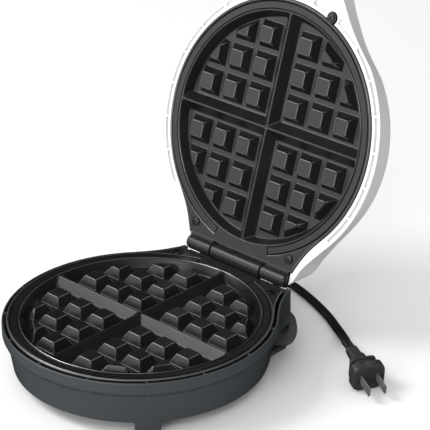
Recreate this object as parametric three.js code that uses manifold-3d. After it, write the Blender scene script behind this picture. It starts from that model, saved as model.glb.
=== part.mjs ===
// Round flip-open waffle maker with its cord and plug. Millimetres, +Z up, +Y towards the hinge.
// Each half is drawn facing up, with z = 0 at the face of its cooking plate. The lid half is then turned
// over and swung open about the hinge.
import * as THREE from 'three';
import { mergeVertices } from 'three/addons/utils/BufferGeometryUtils.js';
import Module from 'manifold-3d';

const wasm = await Module();
wasm.setup();

// ---- driving dimensions -------------------------------------------------------------------------------
const PITCH = 25; // spacing of the waffle pockets
const FLANGE_HEIGHT = 48; // lower plate's face above the floor
const ORIGIN_SHIFT = -53.6; // puts the origin under the middle of the whole object
const OPEN_ANGLE = THREE.MathUtils.degToRad(107.8); // lid's swing from closed to its stop
const GAP = 0.3; // between pieces that touch
const ROUND = 48; // sides of a large circle
const SMALL = 12; // sides of a small circle

const PLATE = { radius: 101.25, edge: 4, depth: 10.5 };
const CAVITY = { top: 91.25, floor: 87.5, depth: 7.5, ease: 1.5, rise: 1.2 };
const STUD = { base: 10.125, top: 6.25, rows: [0.796, 1.796, 2.796], clip: 85.75 };
const RIDGE = { base: 7, top: 0.7 };
const LAND_ANGLE = THREE.MathUtils.degToRad(41.7); // where the hinge land leaves the round
const LAND = [[2.63, 3.19], [2.39, 3.59], [2.18, 4.05]]; // plate's hinge land, in pitches
const LAND_OUT = new THREE.Vector2(0.88, 0.72); // way that the land's edge grows

const HINGE = { y: 108.85, z: 3.6, radius: 6, bore: 2.25, pin: 1.9, lidOffset: -1.6 };
const KNUCKLE = { inner: 26.25, from: 27.25, to: 53, webInset: 1, webTop: -0.6, overlap: 2 };
const EAR = { x: 39.25, y: -97, radius: 4.3 };
const REAR_SCREW = { x: 50, y: 91.75 };
const SCREW = { head: 3.2, headHeight: 0.9, slope: 1, shank: 1.5, length: 9, hole: 1.85, sides: 8 };
const COVER_SCREW_LENGTH = 4;
const POST_RADIUS = 4;

const WALL = 2.5;
const UPRIGHT_FROM = 60; // where the walls begin to stand up towards the hinge
const UPRIGHT_TO = 100;
const SHELL_OFFSET = 3.75; // base shell's rim outside the plate's edge
const BASE = { bottom: -37.5, top: -1, floor: 2.5, opening: 68, floorScale: 0.936, upright: 1 };
const BACK = { x: 57.5, front: 100, rear: 106.8 }; // thick rear wall behind the plate
const BASE_LEVELS = [[-37.5, 0.933], [-14, 0.965], [-12.5, 0.974], [-10, 1], [-1, 1]]; // height, scale
const RIB = { count: 15, width: 1.6, ledge: 96, foot: -12, nibHeight: 4 };
const HEEL = [[76, 64], [76, 82], [66, 95], [58, 107]]; // right half of the heel's outline
const HEEL_LEVELS = [[-37.5, 0.968], [-32, 1]];
const SHELF = { rear: 109.5, low: -9 }; // part of the base that runs on under the hinge
const LIP = { high: -20, floor: -23.5, pull: 75 };
const LIP_LEVELS = [[-25, 0.9], [-21, 1], [-20, 1]];
const LIP_EDGE = [[2.3, 4.26], [2.5, 4.17], [2.73, 4.02], [3.16, 3.61], [3.47, 3.19], [3.62, 2.84],
  [3.62, 2.6]]; // in pitches
const LIP_ROOT = [[3.33, 2.46], [2.9, 2.4], [2.1, 3.6]];
const POCKET = [[2.76, 3.68], [2.98, 3.42], [3.18, 3.1], [3.3, 2.78], [3.12, 2.84], [2.9, 3.14]];
const FOOT = { inner: 86, outer: 97.8, from: -47.5, to: -36.3, low: -46.5, pad: -48, padTop: -46.8 };
const REAR_FOOT = { x: 52, y: 92, halfX: 10, halfY: 7 };
const PAD_INSET = { edge: 1, turn: 0.6 };
const COVER = { radius: 76, low: -39.8, high: -37.8, screwRadius: 72 };
const VENT = { count: 5, gap: 14, halfLength: 22, halfWidth: 2 };

const LID = { radius: 109.6, top: -1, rim: -8, height: 42, wall: 2.8, pull: 25, slim: 0.972, clear: 0.75,
  upright: 0.35 };
const LID_LEVELS = [[-42, 0.66], [-41, 0.75], [-38.5, 0.82], [-34, 0.872], [-28, 0.906], [-1, 1]];
const LID_ARC = THREE.MathUtils.degToRad(40); // where the handle's flanks leave the round
const LID_FLANK = [[3.03, -3.12], [2.69, -3.45], [2.35, -3.83], [2.02, -4.27], [1.66, -4.8], [1.36, -5.3]];
const LID_NOSE = [[1.05, -5.66], [0.5, -5.79], [0, -5.8]];
const LID_NECK = [[2.91, 3.35], [2.52, 3.86], [2.256, 4.37], [2.05, 4.52]];
const CHANNEL = { inner: 104.25, outer: 106.75, depth: 4, from: -50, to: 40 };
const FRONT_POCKET = { inner: 104.4, outer: 109.3, from: -78, to: -61 };
const HANDLE_RECESS = { front: -137, rear: -113.5, halfFront: 24, halfRear: 43, depth: 4 };
const NOTCH = { x: 53.9, front: 101.6, rear: 119, depth: 8.4, wall: 2.5 };

const ELEMENT = { radius: 62, tube: 3, z: -13.9, gapAngle: 0.35, points: 33, steps: 28 };
const REFLECTOR = { radius: 85, hole: 12, z: -18.5, sheet: 0.8, rim: 4, sides: 32 };
const THERMOSTAT = { radius: 9, low: -24, high: -10.8, cap: 6, capHeight: 5 };
const FUSE = { radius: 2.5, from: 22, to: 40, y: 30, z: -22 };
const TERMINALS = { x: [-42, -14], y: [56, 72], z: [-34, -22] };
const LAMP_BOARD = { halfX: 20, halfY: 10, z: [-36.6, -35] };
const LENS = { x: 11, y: -62, radius: 3.8, flange: 5.5, proud: 0.8, flangeHeight: 1.2 };

const EXIT = { x: -27, z: -24.28, droop: THREE.MathUtils.degToRad(15), start: 106.68, groove: 5.4 };
// Strain relief: radius and distance from the wall.
const RELIEF = [[0, -9], [7.5, -9], [7.5, -7.2], [5.4, -7.2], [5.4, 2.4], [7, 2.4], [7, 4], [6, 6.5],
  [4.4, 23.5], [0, 23.5]];
// Sleeved lead that carries the lid's wires across the hinge: y and height above the floor.
const LEAD = { x: 27, radius: 3.5, steps: 9, hole: { half: 5, y: [104, 118], z: [-26, -16] } };
const LEAD_PATH = [[107.2, 26.4], [112, 26.6], [117.2, 28], [122.5, 31.2], [126.2, 35.5], [127.6, 40.6]];
const CORD = { width: 7.5, thickness: 4 };
const COIL = { x: -75, y: 212, inner: 35.5, outer: 52.5, low: 0.2, top: 9.2 };
const COIL_SIDES = 32;
const PLUG = { x: 150, y: 91.4, heading: -28.3, tilt: -8, width: 26, height: 22, length: 21, collar: 12,
  neck: 17 };
const PLUG_SIDE = [[1, 11], [-12.6, 10.4], [-21, 6.5], [-39, 4.5]]; // distance along the plug, half height
const BLADE = { length: 16.5, height: 6.35, thickness: 1.5, spacing: 12.7, root: 4, eye: 1.6, eyeInset: 4.5 };

// Centre line of the cord on the floor, from the strain relief to the coil and from the coil to the plug.
const CORD_IN = [[-27, 129.7, 17.5], [-27, 136, 15.7], [-27, 145, 12.7], [-27, 154, 10], [-27, 163, 8.1],
  [-27, 174, 7], [-27, 186, 6.7], [-27, 198, 6.7], [-27, 212, 6.7]];
const CORD_OUT = [[-54.7, 168.5, 2.2], [-44, 172.7, 2.2], [-33, 175.9, 2.2], [-22, 178, 2.2],
  [-11, 178.3, 2.2], [0.8, 176.9, 2.2], [15.2, 172.6, 2.2], [30.9, 166.9, 2.2], [47.3, 159.8, 2.2],
  [59.6, 153.6, 2.2], [71.7, 146.4, 2.3], [81.5, 139.4, 4.4], [91.8, 130, 8.8], [100.8, 121.5, 13.3],
  [108.4, 114.2, 16.4], [115.7, 110.1, 16.8]];

// ---- materials ----------------------------------------------------------------------------------------
const material = (color, roughness, metalness = 0) =>
  new THREE.MeshStandardMaterial({ color, roughness, metalness });
const SLATE = material(0x41474a, 0.45);
const WHITE = material(0xf2f2f0, 0.35);
const NONSTICK = material(0x1c1d1e, 0.4, 0.3);
const BLACK = material(0x1d1e20, 0.55);
const STEEL = material(0xb8bbbd, 0.3, 1);
const ALUMINIUM = material(0xcfd2d4, 0.4, 1);
const CERAMIC = material(0xe8e4da, 0.7);
const RUBBER = material(0x202122, 0.8);
const AMBER = material(0xe8892a, 0.2);
const GREEN = material(0x3aa655, 0.2);
const BOARD = material(0x2f6b3f, 0.6);
const SLEEVING = material(0x2a2a2a, 0.9);

// ---- solids -------------------------------------------------------------------------------------------
function solidOf(geometry) {
  const bare = geometry.clone();
  bare.deleteAttribute('normal');
  bare.deleteAttribute('uv');
  const merged = mergeVertices(bare, 1e-4);
  const index = merged.index.array;
  const triangles = [];
  for (let i = 0; i < index.length; i += 3) {
    const [a, b, c] = index.slice(i, i + 3);
    if (a !== b && b !== c && c !== a) triangles.push(a, b, c);
  }
  if (signedVolume(merged.attributes.position, triangles) < 0) triangles.reverse();
  const vertProperties = new Float32Array(merged.attributes.position.array);
  const triVerts = new Uint32Array(triangles);
  return new wasm.Manifold(new wasm.Mesh({ numProp: 3, vertProperties, triVerts }));
}

function signedVolume(position, triangles) {
  const corner = [new THREE.Vector3(), new THREE.Vector3(), new THREE.Vector3()];
  let total = 0;
  for (let i = 0; i < triangles.length; i += 3) {
    corner.forEach((point, k) => point.fromBufferAttribute(position, triangles[i + k]));
    total += corner[0].dot(corner[1].cross(corner[2]));
  }
  return total;
}

function geometryOf(solid) {
  const mesh = solid.getMesh();
  const geometry = new THREE.BufferGeometry();
  geometry.setAttribute('position', new THREE.BufferAttribute(new Float32Array(mesh.vertProperties), 3));
  geometry.setIndex(new THREE.BufferAttribute(new Uint32Array(mesh.triVerts), 1));
  geometry.computeVertexNormals();
  return geometry;
}

const joined = (solids) => solids.reduce((whole, solid) => whole.add(solid));
const cut = (solid, tools) => tools.reduce((rest, tool) => rest.subtract(tool), solid);

function block(x, y, z) {
  const geometry = new THREE.BoxGeometry(x[1] - x[0], y[1] - y[0], z[1] - z[0]);
  geometry.translate((x[0] + x[1]) / 2, (y[0] + y[1]) / 2, (z[0] + z[1]) / 2);
  return solidOf(geometry);
}

function disc(radius, low, high, x = 0, y = 0, sides = SMALL) {
  const geometry = new THREE.CylinderGeometry(radius, radius, high - low, sides);
  geometry.rotateX(Math.PI / 2);
  geometry.translate(x, y, (low + high) / 2);
  return solidOf(geometry);
}

function bar(radius, from, to, y, z) {
  const geometry = new THREE.CylinderGeometry(radius, radius, to - from, SMALL);
  geometry.rotateZ(Math.PI / 2);
  geometry.translate((from + to) / 2, y, z);
  return solidOf(geometry);
}

// A profile of [radius, height] points turned about +Z.
function turned(profile, sides = ROUND) {
  const geometry = new THREE.LatheGeometry(profile.map(([r, z]) => new THREE.Vector2(r, z)), sides);
  geometry.rotateX(Math.PI / 2);
  return solidOf(geometry);
}

function prism(shape, low, high) {
  const geometry = new THREE.ExtrudeGeometry(shape, { depth: high - low, bevelEnabled: false });
  geometry.translate(0, 0, low);
  return solidOf(geometry);
}

// A shape lofted through [height, scale] levels, scaled about (0, pull). upright is how far the walls by the
// hinge keep from leaning: 0 is not at all, 1 is plumb.
function tapered(shape, levels, pull = 0, upright = 0) {
  const steps = levels.length - 1;
  const geometry = new THREE.ExtrudeGeometry(shape, { depth: steps, steps, bevelEnabled: false });
  const position = geometry.attributes.position;
  for (let i = 0; i < position.count; i++) {
    const [height, lean] = levels[Math.round(position.getZ(i))];
    const hold = upright * THREE.MathUtils.smoothstep(position.getY(i), UPRIGHT_FROM, UPRIGHT_TO);
    const scale = lean + (1 - lean) * hold;
    position.setXYZ(i, position.getX(i) * scale, pull + (position.getY(i) - pull) * scale, height);
  }
  return solidOf(geometry);
}

function ringSector(inner, outer, from, to, low, high) {
  const [a, b] = [from, to].map(THREE.MathUtils.degToRad);
  const sides = Math.max(3, Math.round(((to - from) / 360) * ROUND));
  const edge = (radius) => new THREE.EllipseCurve(0, 0, radius, radius, a, b, false).getPoints(sides);
  return prism(polygon([...edge(outer), ...edge(inner).reverse()]), low, high);
}

const inPitches = (points, side = 1) =>
  points.map(([x, y]) => new THREE.Vector2(side * x * PITCH, y * PITCH));

function polygon(points) {
  return new THREE.Shape(points);
}

function tubeAlong(points, halfWide, halfHigh, steps, sides = 8) {
  const curve = new THREE.CatmullRomCurve3(points.map((p) => new THREE.Vector3(...p)));
  const section = new THREE.Shape();
  for (let i = 0; i < sides; i++) {
    const angle = ((i + 0.5) / sides) * 2 * Math.PI;
    section[i ? 'lineTo' : 'moveTo'](halfHigh * Math.cos(angle), halfWide * Math.sin(angle));
  }
  return solidOf(new THREE.ExtrudeGeometry(section, { steps, extrudePath: curve }));
}

// ---- outlines -----------------------------------------------------------------------------------------
// The cooking plate's outline, grown outwards: a circle with a flat-backed land for the hinge.
function plateOutline(grow = 0) {
  const land = (side) => inPitches(LAND, side).map(({ x, y }) =>
    new THREE.Vector2(x + side * grow * LAND_OUT.x, y + grow * LAND_OUT.y));
  const radius = PLATE.radius + grow;
  const arc = new THREE.EllipseCurve(0, 0, radius, radius, LAND_ANGLE, Math.PI - LAND_ANGLE, true);
  const right = new THREE.SplineCurve([...land(1).reverse(), arc.getPoint(0)]).getPoints(6);
  const left = new THREE.SplineCurve([arc.getPoint(1), ...land(-1)]).getPoints(6);
  return polygon([...right, ...arc.getPoints(ROUND * 0.75).slice(1), ...left.slice(1)]);
}

// Right half of the lid's outline from the hinge round to the handle's nose, mirrored for the left.
function lidOutline() {
  const arc = new THREE.EllipseCurve(0, 0, LID.radius, LID.radius, LAND_ANGLE, -LID_ARC, true);
  const neck = new THREE.SplineCurve([...inPitches(LID_NECK).reverse(), arc.getPoint(0)]);
  const flank = new THREE.SplineCurve([arc.getPoint(1), ...inPitches(LID_FLANK), ...inPitches(LID_NOSE)]);
  const right = [...neck.getPoints(6), ...arc.getPoints(12).slice(1), ...flank.getPoints(12).slice(1)];
  const left = right.slice(0, -1).reverse().map(({ x, y }) => new THREE.Vector2(-x, y));
  return polygon([...right, ...left]);
}

// ---- cooking plates -----------------------------------------------------------------------------------
function cookingPlate(knuckles, ears) {
  const body = joined([
    prism(plateOutline(), -PLATE.edge, 0),
    disc(CAVITY.top + WALL, -PLATE.depth, -PLATE.edge + 1, 0, 0, ROUND),
    ...ears.map((x) => disc(EAR.radius, -PLATE.edge, 0, x, EAR.y)),
    ...knuckles,
  ]);
  const cavity = turned([[0, -CAVITY.depth], [CAVITY.floor - CAVITY.ease, -CAVITY.depth],
    [CAVITY.floor, CAVITY.rise - CAVITY.depth], [CAVITY.top, 0], [CAVITY.top, 1], [0, 1]]);
  return cut(body, [cavity]).add(waffleGrid());
}

function waffleGrid() {
  const places = STUD.rows.flatMap((row, i) => STUD.rows.map((column, j) => [row, column, i + j]));
  const quarter = places.filter(([, , reach]) => reach < 4);
  const studs = quarter.flatMap(([x, y]) => [[x, y], [-x, y], [x, -y], [-x, -y]]).map(([x, y]) => stud(x, y));
  const clip = turned([[0, -CAVITY.depth - GAP], [STUD.clip, -CAVITY.depth - GAP],
    [STUD.clip - STUD.base + STUD.top, 0], [0, 0]]);
  return joined(studs).intersect(clip).add(ridge(0)).add(ridge(Math.PI / 2));
}

function stud(column, row) {
  const height = CAVITY.depth + GAP;
  const geometry = new THREE.CylinderGeometry(STUD.top * Math.SQRT2, STUD.base * Math.SQRT2, height, 4);
  geometry.rotateX(Math.PI / 2);
  geometry.rotateZ(Math.PI / 4);
  geometry.translate(column * PITCH, row * PITCH, -height / 2);
  return solidOf(geometry);
}

function ridge(turn) {
  const low = -CAVITY.depth - GAP;
  const section = polygon([[-RIDGE.base, low], [RIDGE.base, low], [RIDGE.top, 0], [-RIDGE.top, 0]]
    .map(([x, y]) => new THREE.Vector2(x, y)));
  const length = 2 * CAVITY.top;
  const geometry = new THREE.ExtrudeGeometry(section, { depth: length, bevelEnabled: false });
  geometry.translate(0, 0, -length / 2);
  geometry.rotateX(Math.PI / 2);
  geometry.rotateZ(turn);
  return solidOf(geometry);
}

function knuckle(from, to, z) {
  const barrel = bar(HINGE.radius, from, to, HINGE.y, z);
  const { webInset, webTop, overlap } = KNUCKLE;
  const web = block([from + webInset, to - webInset], [PLATE.radius - overlap, HINGE.y - overlap],
    [-PLATE.edge, webTop]);
  return barrel.add(web).subtract(bar(HINGE.bore, from - 1, to + 1, HINGE.y, z));
}

function lowerPlate() {
  const plate = cookingPlate([knuckle(-KNUCKLE.inner, KNUCKLE.inner, HINGE.z)], []);
  return cut(plate, [-1, 1].map((side) => screwHole(side * REAR_SCREW.x, REAR_SCREW.y)));
}

function upperPlate() {
  const knuckles = [[-KNUCKLE.to, -KNUCKLE.from], [KNUCKLE.from, KNUCKLE.to]]
    .map(([from, to]) => knuckle(from, to, HINGE.lidOffset));
  const plate = cookingPlate(knuckles, [-EAR.x, EAR.x]);
  return cut(plate, lidScrewPlaces().map(([x, y]) => screwHole(x, y)));
}

const screwHole = (x, y) => disc(SCREW.hole, -PLATE.edge - 1, 1, x, y);
const lidScrewPlaces = () => [-1, 1].flatMap((side) =>
  [[side * REAR_SCREW.x, REAR_SCREW.y], [side * EAR.x, EAR.y]]);

// ---- base ---------------------------------------------------------------------------------------------
function baseShell() {
  const outside = tapered(plateOutline(SHELL_OFFSET), BASE_LEVELS, 0, BASE.upright)
    .add(block([-BACK.x, BACK.x], [BACK.front, BACK.rear], [BASE.bottom, BASE.top]));
  const floorTop = BASE.bottom + BASE.floor;
  const insideLevels = [[floorTop, BASE.floorScale], ...BASE_LEVELS.slice(1, -1), [1, 1]];
  const inside = tapered(plateOutline(SHELL_OFFSET - WALL), insideLevels, 0, BASE.upright);
  const sides = [-1, 1];
  const additions = [
    heel(),
    ...sides.map(cordLip),
    ...sides.map(rearFoot),
    ...sides.map(frontFoot),
  ];
  const shell = joined([outside, ...additions]).subtract(inside);
  const posts = sides.map((side) => post(side * REAR_SCREW.x, REAR_SCREW.y, floorTop - 1));
  const fittings = joined([...plateRibs(), ...posts]).intersect(outside);
  const shelf = block([-NOTCH.x, NOTCH.x], [NOTCH.front, SHELF.rear], [SHELF.low, -PLATE.edge]);
  return cut(joined([shell, fittings, shelf]), [
    disc(BASE.opening, BASE.bottom - 1, floorTop + 1, 0, 0, ROUND),
    block([-NOTCH.x, NOTCH.x], [NOTCH.front, NOTCH.rear], [-PLATE.edge - 2 * GAP, 5]),
    ...coverScrewPlaces().map(([x, y]) => disc(SCREW.hole, BASE.bottom - 1, floorTop + 1, x, y)),
    ...sides.map((side) => disc(SCREW.hole, -20, 0, side * REAR_SCREW.x, REAR_SCREW.y)),
    cordHole(),
  ]);
}

// Broad heel of the shell at the rear, below the ears that the cord winds round.
function heel() {
  const right = HEEL.map(([x, y]) => new THREE.Vector2(x, y));
  const left = right.map(({ x, y }) => new THREE.Vector2(-x, y)).reverse();
  return tapered(polygon([...right, ...left]), HEEL_LEVELS);
}

// Ear on each rear flank that the cord winds under, with a crescent pocket in it.
function cordLip(side) {
  const edge = new THREE.SplineCurve(inPitches(LIP_EDGE, side)).getPoints(18);
  const shape = polygon([...edge, ...inPitches(LIP_ROOT, side)]);
  const pocket = new THREE.CatmullRomCurve3(
    inPitches(POCKET, side).map(({ x, y }) => new THREE.Vector3(x, y, 0)), true);
  const hole = polygon(pocket.getPoints(20).slice(1).map(({ x, y }) => new THREE.Vector2(x, y)));
  return tapered(shape, LIP_LEVELS, LIP.pull).subtract(prism(hole, LIP.floor, LIP.high + 1));
}

const footTurn = (side) => (side > 0 ? [FOOT.from, FOOT.to] : [-180 - FOOT.to, -180 - FOOT.from]);

function frontFoot(side) {
  const [from, to] = footTurn(side);
  return ringSector(FOOT.inner, FOOT.outer, from, to, FOOT.low, BASE.bottom + 1);
}

function frontPad(side) {
  const [from, to] = footTurn(side);
  const { edge, turn } = PAD_INSET;
  return ringSector(FOOT.inner + edge, FOOT.outer - edge, from + turn, to - turn, FOOT.pad, FOOT.padTop);
}

function rearBlock(side, inset, z) {
  const [x, halfX, halfY] = [side * REAR_FOOT.x, REAR_FOOT.halfX - inset, REAR_FOOT.halfY - inset];
  return block([x - halfX, x + halfX], [REAR_FOOT.y - halfY, REAR_FOOT.y + halfY], z);
}

const rearFoot = (side) => rearBlock(side, 0, [FOOT.low, BASE.bottom + 1]);
const rearPad = (side) => rearBlock(side, PAD_INSET.edge, [FOOT.pad, FOOT.padTop]);

// Ribs round the rim, each a ledge under the plate's edge and a nib beside it.
function plateRibs() {
  const rimRadius = PLATE.radius + SHELL_OFFSET - 1;
  return Array.from({ length: RIB.count }, (_, i) => -90 + (i * 360) / RIB.count)
    .filter((angle) => Math.sin(THREE.MathUtils.degToRad(angle)) < Math.sin(LAND_ANGLE))
    .map((angle) => {
      const ledge = new THREE.BoxGeometry(rimRadius - RIB.ledge, RIB.width, -PLATE.edge - GAP - RIB.foot);
      ledge.translate((rimRadius + RIB.ledge) / 2, 0, (RIB.foot - PLATE.edge - GAP) / 2);
      ledge.rotateZ(THREE.MathUtils.degToRad(angle));
      const nib = new THREE.BoxGeometry(rimRadius - PLATE.radius - GAP, RIB.width, RIB.nibHeight);
      nib.translate((rimRadius + PLATE.radius + GAP) / 2, 0, -PLATE.edge);
      nib.rotateZ(THREE.MathUtils.degToRad(angle));
      return solidOf(ledge).add(solidOf(nib));
    });
}

const post = (x, y, low) => disc(POST_RADIUS, low, -PLATE.edge - GAP, x, y);

const coverScrewPlaces = () => [45, 135, 225, 315].map(THREE.MathUtils.degToRad)
  .map((angle) => [COVER.screwRadius * Math.cos(angle), COVER.screwRadius * Math.sin(angle)]);

function baseCover() {
  const plate = disc(COVER.radius, COVER.low, COVER.high, 0, 0, ROUND);
  const { count, gap, halfLength, halfWidth } = VENT;
  const through = [COVER.low - 1, COVER.high + 1];
  const vents = Array.from({ length: count }, (_, i) => (i - (count - 1) / 2) * gap)
    .map((y) => block([-halfLength, halfLength], [y - halfWidth, y + halfWidth], through));
  const holes = coverScrewPlaces().map(([x, y]) => disc(SCREW.hole, ...through, x, y));
  return cut(plate, [...vents, ...holes]);
}

// ---- lid ----------------------------------------------------------------------------------------------
function lidShell() {
  const outline = lidOutline();
  const outside = tapered(outline, LID_LEVELS, LID.pull, LID.upright);
  const [wallFoot, wallTop] = LID_LEVELS.slice(-2);
  const rimScale = THREE.MathUtils.mapLinear(LID.rim, wallFoot[0], wallTop[0], wallFoot[1], wallTop[1]);
  const inner = LID_LEVELS.slice(0, -1).map(([z, scale]) => [z + LID.wall, scale * LID.slim]);
  const inside = tapered(outline, [...inner, [LID.rim, rimScale * LID.slim]], LID.pull, LID.upright);
  const shell = outside.subtract(inside);
  const posts = joined(lidScrewPlaces().map(([x, y]) => post(x, y, -LID.height))).intersect(outside);
  const opening = prism(plateOutline(LID.clear), LID.rim - 1, 1);
  const ears = [-1, 1].map((side) => disc(EAR.radius + 1, LID.rim - 1, 1, side * EAR.x, EAR.y));
  const wallX = NOTCH.x + NOTCH.wall;
  const hingeWall = block([-wallX, wallX], [NOTCH.front - NOTCH.wall, NOTCH.rear],
    [-NOTCH.depth - NOTCH.wall, LID.rim + 1]).intersect(outside);
  const lensHole = (side) =>
    disc(LENS.radius + GAP, -LID.height - 1, -LID.height + 2 * LID.wall, side * LENS.x, LENS.y);
  return cut(cut(shell.add(hingeWall), [opening, ...ears]).add(posts), [
    block([-NOTCH.x, NOTCH.x], [NOTCH.front, NOTCH.rear], [-NOTCH.depth, 5]),
    ...rimChannels(),
    handleRecess(),
    ...lidScrewPlaces().map(([x, y]) => disc(SCREW.hole, -20, 0, x, y)),
    ...[-1, 1].map(lensHole),
    leadHole(),
  ]);
}

// Channels in the rim: one down each side and a wider one beside each front screw.
function rimChannels() {
  const low = LID.top - CHANNEL.depth;
  return [CHANNEL, FRONT_POCKET].flatMap(({ inner, outer, from, to }) => [
    ringSector(inner, outer, from, to, low, 1),
    ringSector(inner, outer, 180 - to, 180 - from, low, 1),
  ]);
}

function handleRecess() {
  const { front, rear, halfFront, halfRear, depth } = HANDLE_RECESS;
  const corners = [[-halfRear, rear], [-halfFront, front], [halfFront, front], [halfRear, rear]];
  return prism(polygon(corners.map(([x, y]) => new THREE.Vector2(x, y))), LID.top - depth, 1);
}

function lens() {
  const face = -LID.height - LENS.proud;
  const inside = -LID.height + LID.wall + GAP;
  const back = inside + LENS.flangeHeight;
  return turned([[0, face], [LENS.radius - LENS.proud, face], [LENS.radius, face + LENS.proud],
    [LENS.radius, inside], [LENS.flange, inside], [LENS.flange, back], [0, back]], SMALL);
}

// ---- heating and wiring -------------------------------------------------------------------------------
function element() {
  const { radius, tube, z, gapAngle, points, steps } = ELEMENT;
  const step = (2 * Math.PI - 2 * gapAngle) / (points - 1);
  const arc = Array.from({ length: points }, (_, i) => gapAngle + i * step)
    .map((angle) => [radius * Math.cos(angle), radius * Math.sin(angle), z]);
  return tubeAlong(arc, tube, tube, steps);
}

function reflector() {
  const { radius, hole, z, sheet, rim, sides } = REFLECTOR;
  return turned([[hole, z], [radius, z], [radius + rim, z + rim], [radius + rim, z + rim + sheet],
    [radius, z + sheet], [hole, z + sheet], [hole, z]], sides);
}

function thermostat() {
  const { radius, low, high, cap, capHeight } = THERMOSTAT;
  const shoulder = low + capHeight;
  return turned([[0, low], [cap, low], [cap, shoulder], [radius, shoulder], [radius, high], [0, high]],
    SMALL);
}

function screw(length) {
  return turned([[0, -length], [SCREW.shank, -length], [SCREW.shank, GAP], [SCREW.head, GAP],
    [SCREW.head - SCREW.slope, SCREW.headHeight], [0, SCREW.headHeight]], SCREW.sides);
}

// ---- cord ---------------------------------------------------------------------------------------------
const droop = (geometry) => geometry.rotateX(-EXIT.droop).translate(EXIT.x, EXIT.start, EXIT.z);

// Tapered relief that grips the rear wall with a groove and points back and slightly down.
function strainRelief() {
  const profile = RELIEF.map(([r, z]) => new THREE.Vector2(r, z));
  return solidOf(droop(new THREE.LatheGeometry(profile, SMALL)));
}

function cordHole() {
  const radius = EXIT.groove + GAP;
  const length = 2 * (SHELL_OFFSET + 4 * WALL);
  return solidOf(droop(new THREE.CylinderGeometry(radius, radius, length, SMALL)));
}

function coilRing() {
  const { inner, outer, low, top } = COIL;
  return turned([[inner, low], [outer, low], [outer, top], [inner, top], [inner, low]], COIL_SIDES)
    .translate([COIL.x, COIL.y, 0]);
}

function cordRun(points, across, along, steps) {
  const tube = tubeAlong(points, across / 2, along / 2, steps);
  const [inner, outer, high] = [COIL.inner - GAP, COIL.outer + GAP, 2 * COIL.top];
  const clearance = turned([[inner, -1], [outer, -1], [outer, high], [inner, high], [inner, -1]], COIL_SIDES)
    .translate([COIL.x, COIL.y, 0]);
  const pieces = tube.subtract(clearance).decompose();
  return pieces.sort((a, b) => b.volume() - a.volume())[0];
}

// Moulded plug pointing along +Y, its face at y = 0: a rounded body that necks down to a collar on the cord.
function plugBody() {
  const { width, length, collar, neck } = PLUG;
  const half = width / 2;
  const shoulder = -length / 2;
  const outline = new THREE.Shape();
  outline.moveTo(-half, 0);
  outline.lineTo(-half, shoulder);
  outline.quadraticCurveTo(-half, -length, -collar / 2, -length);
  outline.lineTo(-collar / 2, -length - neck);
  outline.lineTo(collar / 2, -length - neck);
  outline.lineTo(collar / 2, -length);
  outline.quadraticCurveTo(half, -length, half, shoulder);
  outline.lineTo(half, 0);
  const slab = prism(polygon(outline.getPoints(6)), -PLUG.height / 2, PLUG.height / 2);
  const below = PLUG_SIDE.map(([x, y]) => [x, -y]).reverse();
  const side = polygon([...PLUG_SIDE, ...below].map(([x, y]) => new THREE.Vector2(x, y)));
  const profile = new THREE.ExtrudeGeometry(side, { depth: width + 2, bevelEnabled: false });
  profile.translate(0, 0, -half - 1);
  profile.rotateX(Math.PI / 2);
  profile.rotateZ(Math.PI / 2);
  const slots = [-1, 1].map((sign) => {
    const x = (sign * BLADE.spacing) / 2;
    const t = BLADE.thickness / 2 + GAP;
    return block([x - t, x + t], [-BLADE.root - GAP, 1], [-BLADE.height / 2 - GAP, BLADE.height / 2 + GAP]);
  });
  return cut(slab.intersect(solidOf(profile)), slots);
}

function blade() {
  const solid = block([-BLADE.thickness / 2, BLADE.thickness / 2], [-BLADE.root, BLADE.length],
    [-BLADE.height / 2, BLADE.height / 2]);
  const eye = new THREE.CylinderGeometry(BLADE.eye, BLADE.eye, 2 * BLADE.thickness, SMALL)
    .rotateZ(Math.PI / 2).translate(0, BLADE.length - BLADE.eyeInset, 0);
  return solid.subtract(solidOf(eye));
}

const leadSleeve = () =>
  tubeAlong(LEAD_PATH.map(([y, z]) => [LEAD.x, y, z]), LEAD.radius, LEAD.radius, LEAD.steps);

const leadHole = () => block([-LEAD.x - LEAD.hole.half, -LEAD.x + LEAD.hole.half], LEAD.hole.y, LEAD.hole.z);

// ---- assembly -----------------------------------------------------------------------------------------
function add(group, name, solid, finish) {
  const mesh = new THREE.Mesh(geometryOf(solid), finish);
  mesh.name = name;
  group.add(mesh);
  return mesh;
}

const maker = new THREE.Group();
maker.position.set(0, ORIGIN_SHIFT, 0);

const base = new THREE.Group();
base.position.set(0, 0, FLANGE_HEIGHT);
maker.add(base);
add(base, 'base_shell', baseShell(), SLATE);
add(base, 'base_cover', baseCover(), BLACK);
add(base, 'lower_plate', lowerPlate(), NONSTICK);
add(base, 'lower_element', element(), STEEL);
add(base, 'lower_reflector', reflector(), ALUMINIUM);
add(base, 'thermostat', thermostat(), CERAMIC);
add(base, 'thermal_fuse', bar(FUSE.radius, FUSE.from, FUSE.to, FUSE.y, FUSE.z), ALUMINIUM);
add(base, 'terminal_block', block(TERMINALS.x, TERMINALS.y, TERMINALS.z), CERAMIC);
add(base, 'strain_relief', strainRelief(), BLACK);
add(base, 'hinge_pin', bar(HINGE.pin, -KNUCKLE.to + 1, KNUCKLE.to - 1, HINGE.y, HINGE.z), STEEL);
[['left', -1], ['right', 1]].forEach(([name, side]) => {
  add(base, `front_pad_${name}`, frontPad(side), RUBBER);
  add(base, `rear_pad_${name}`, rearPad(side), RUBBER);
  const fixing = add(base, `lower_plate_screw_${name}`, screw(SCREW.length), STEEL);
  fixing.position.set(side * REAR_SCREW.x, REAR_SCREW.y, 0);
});
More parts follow.
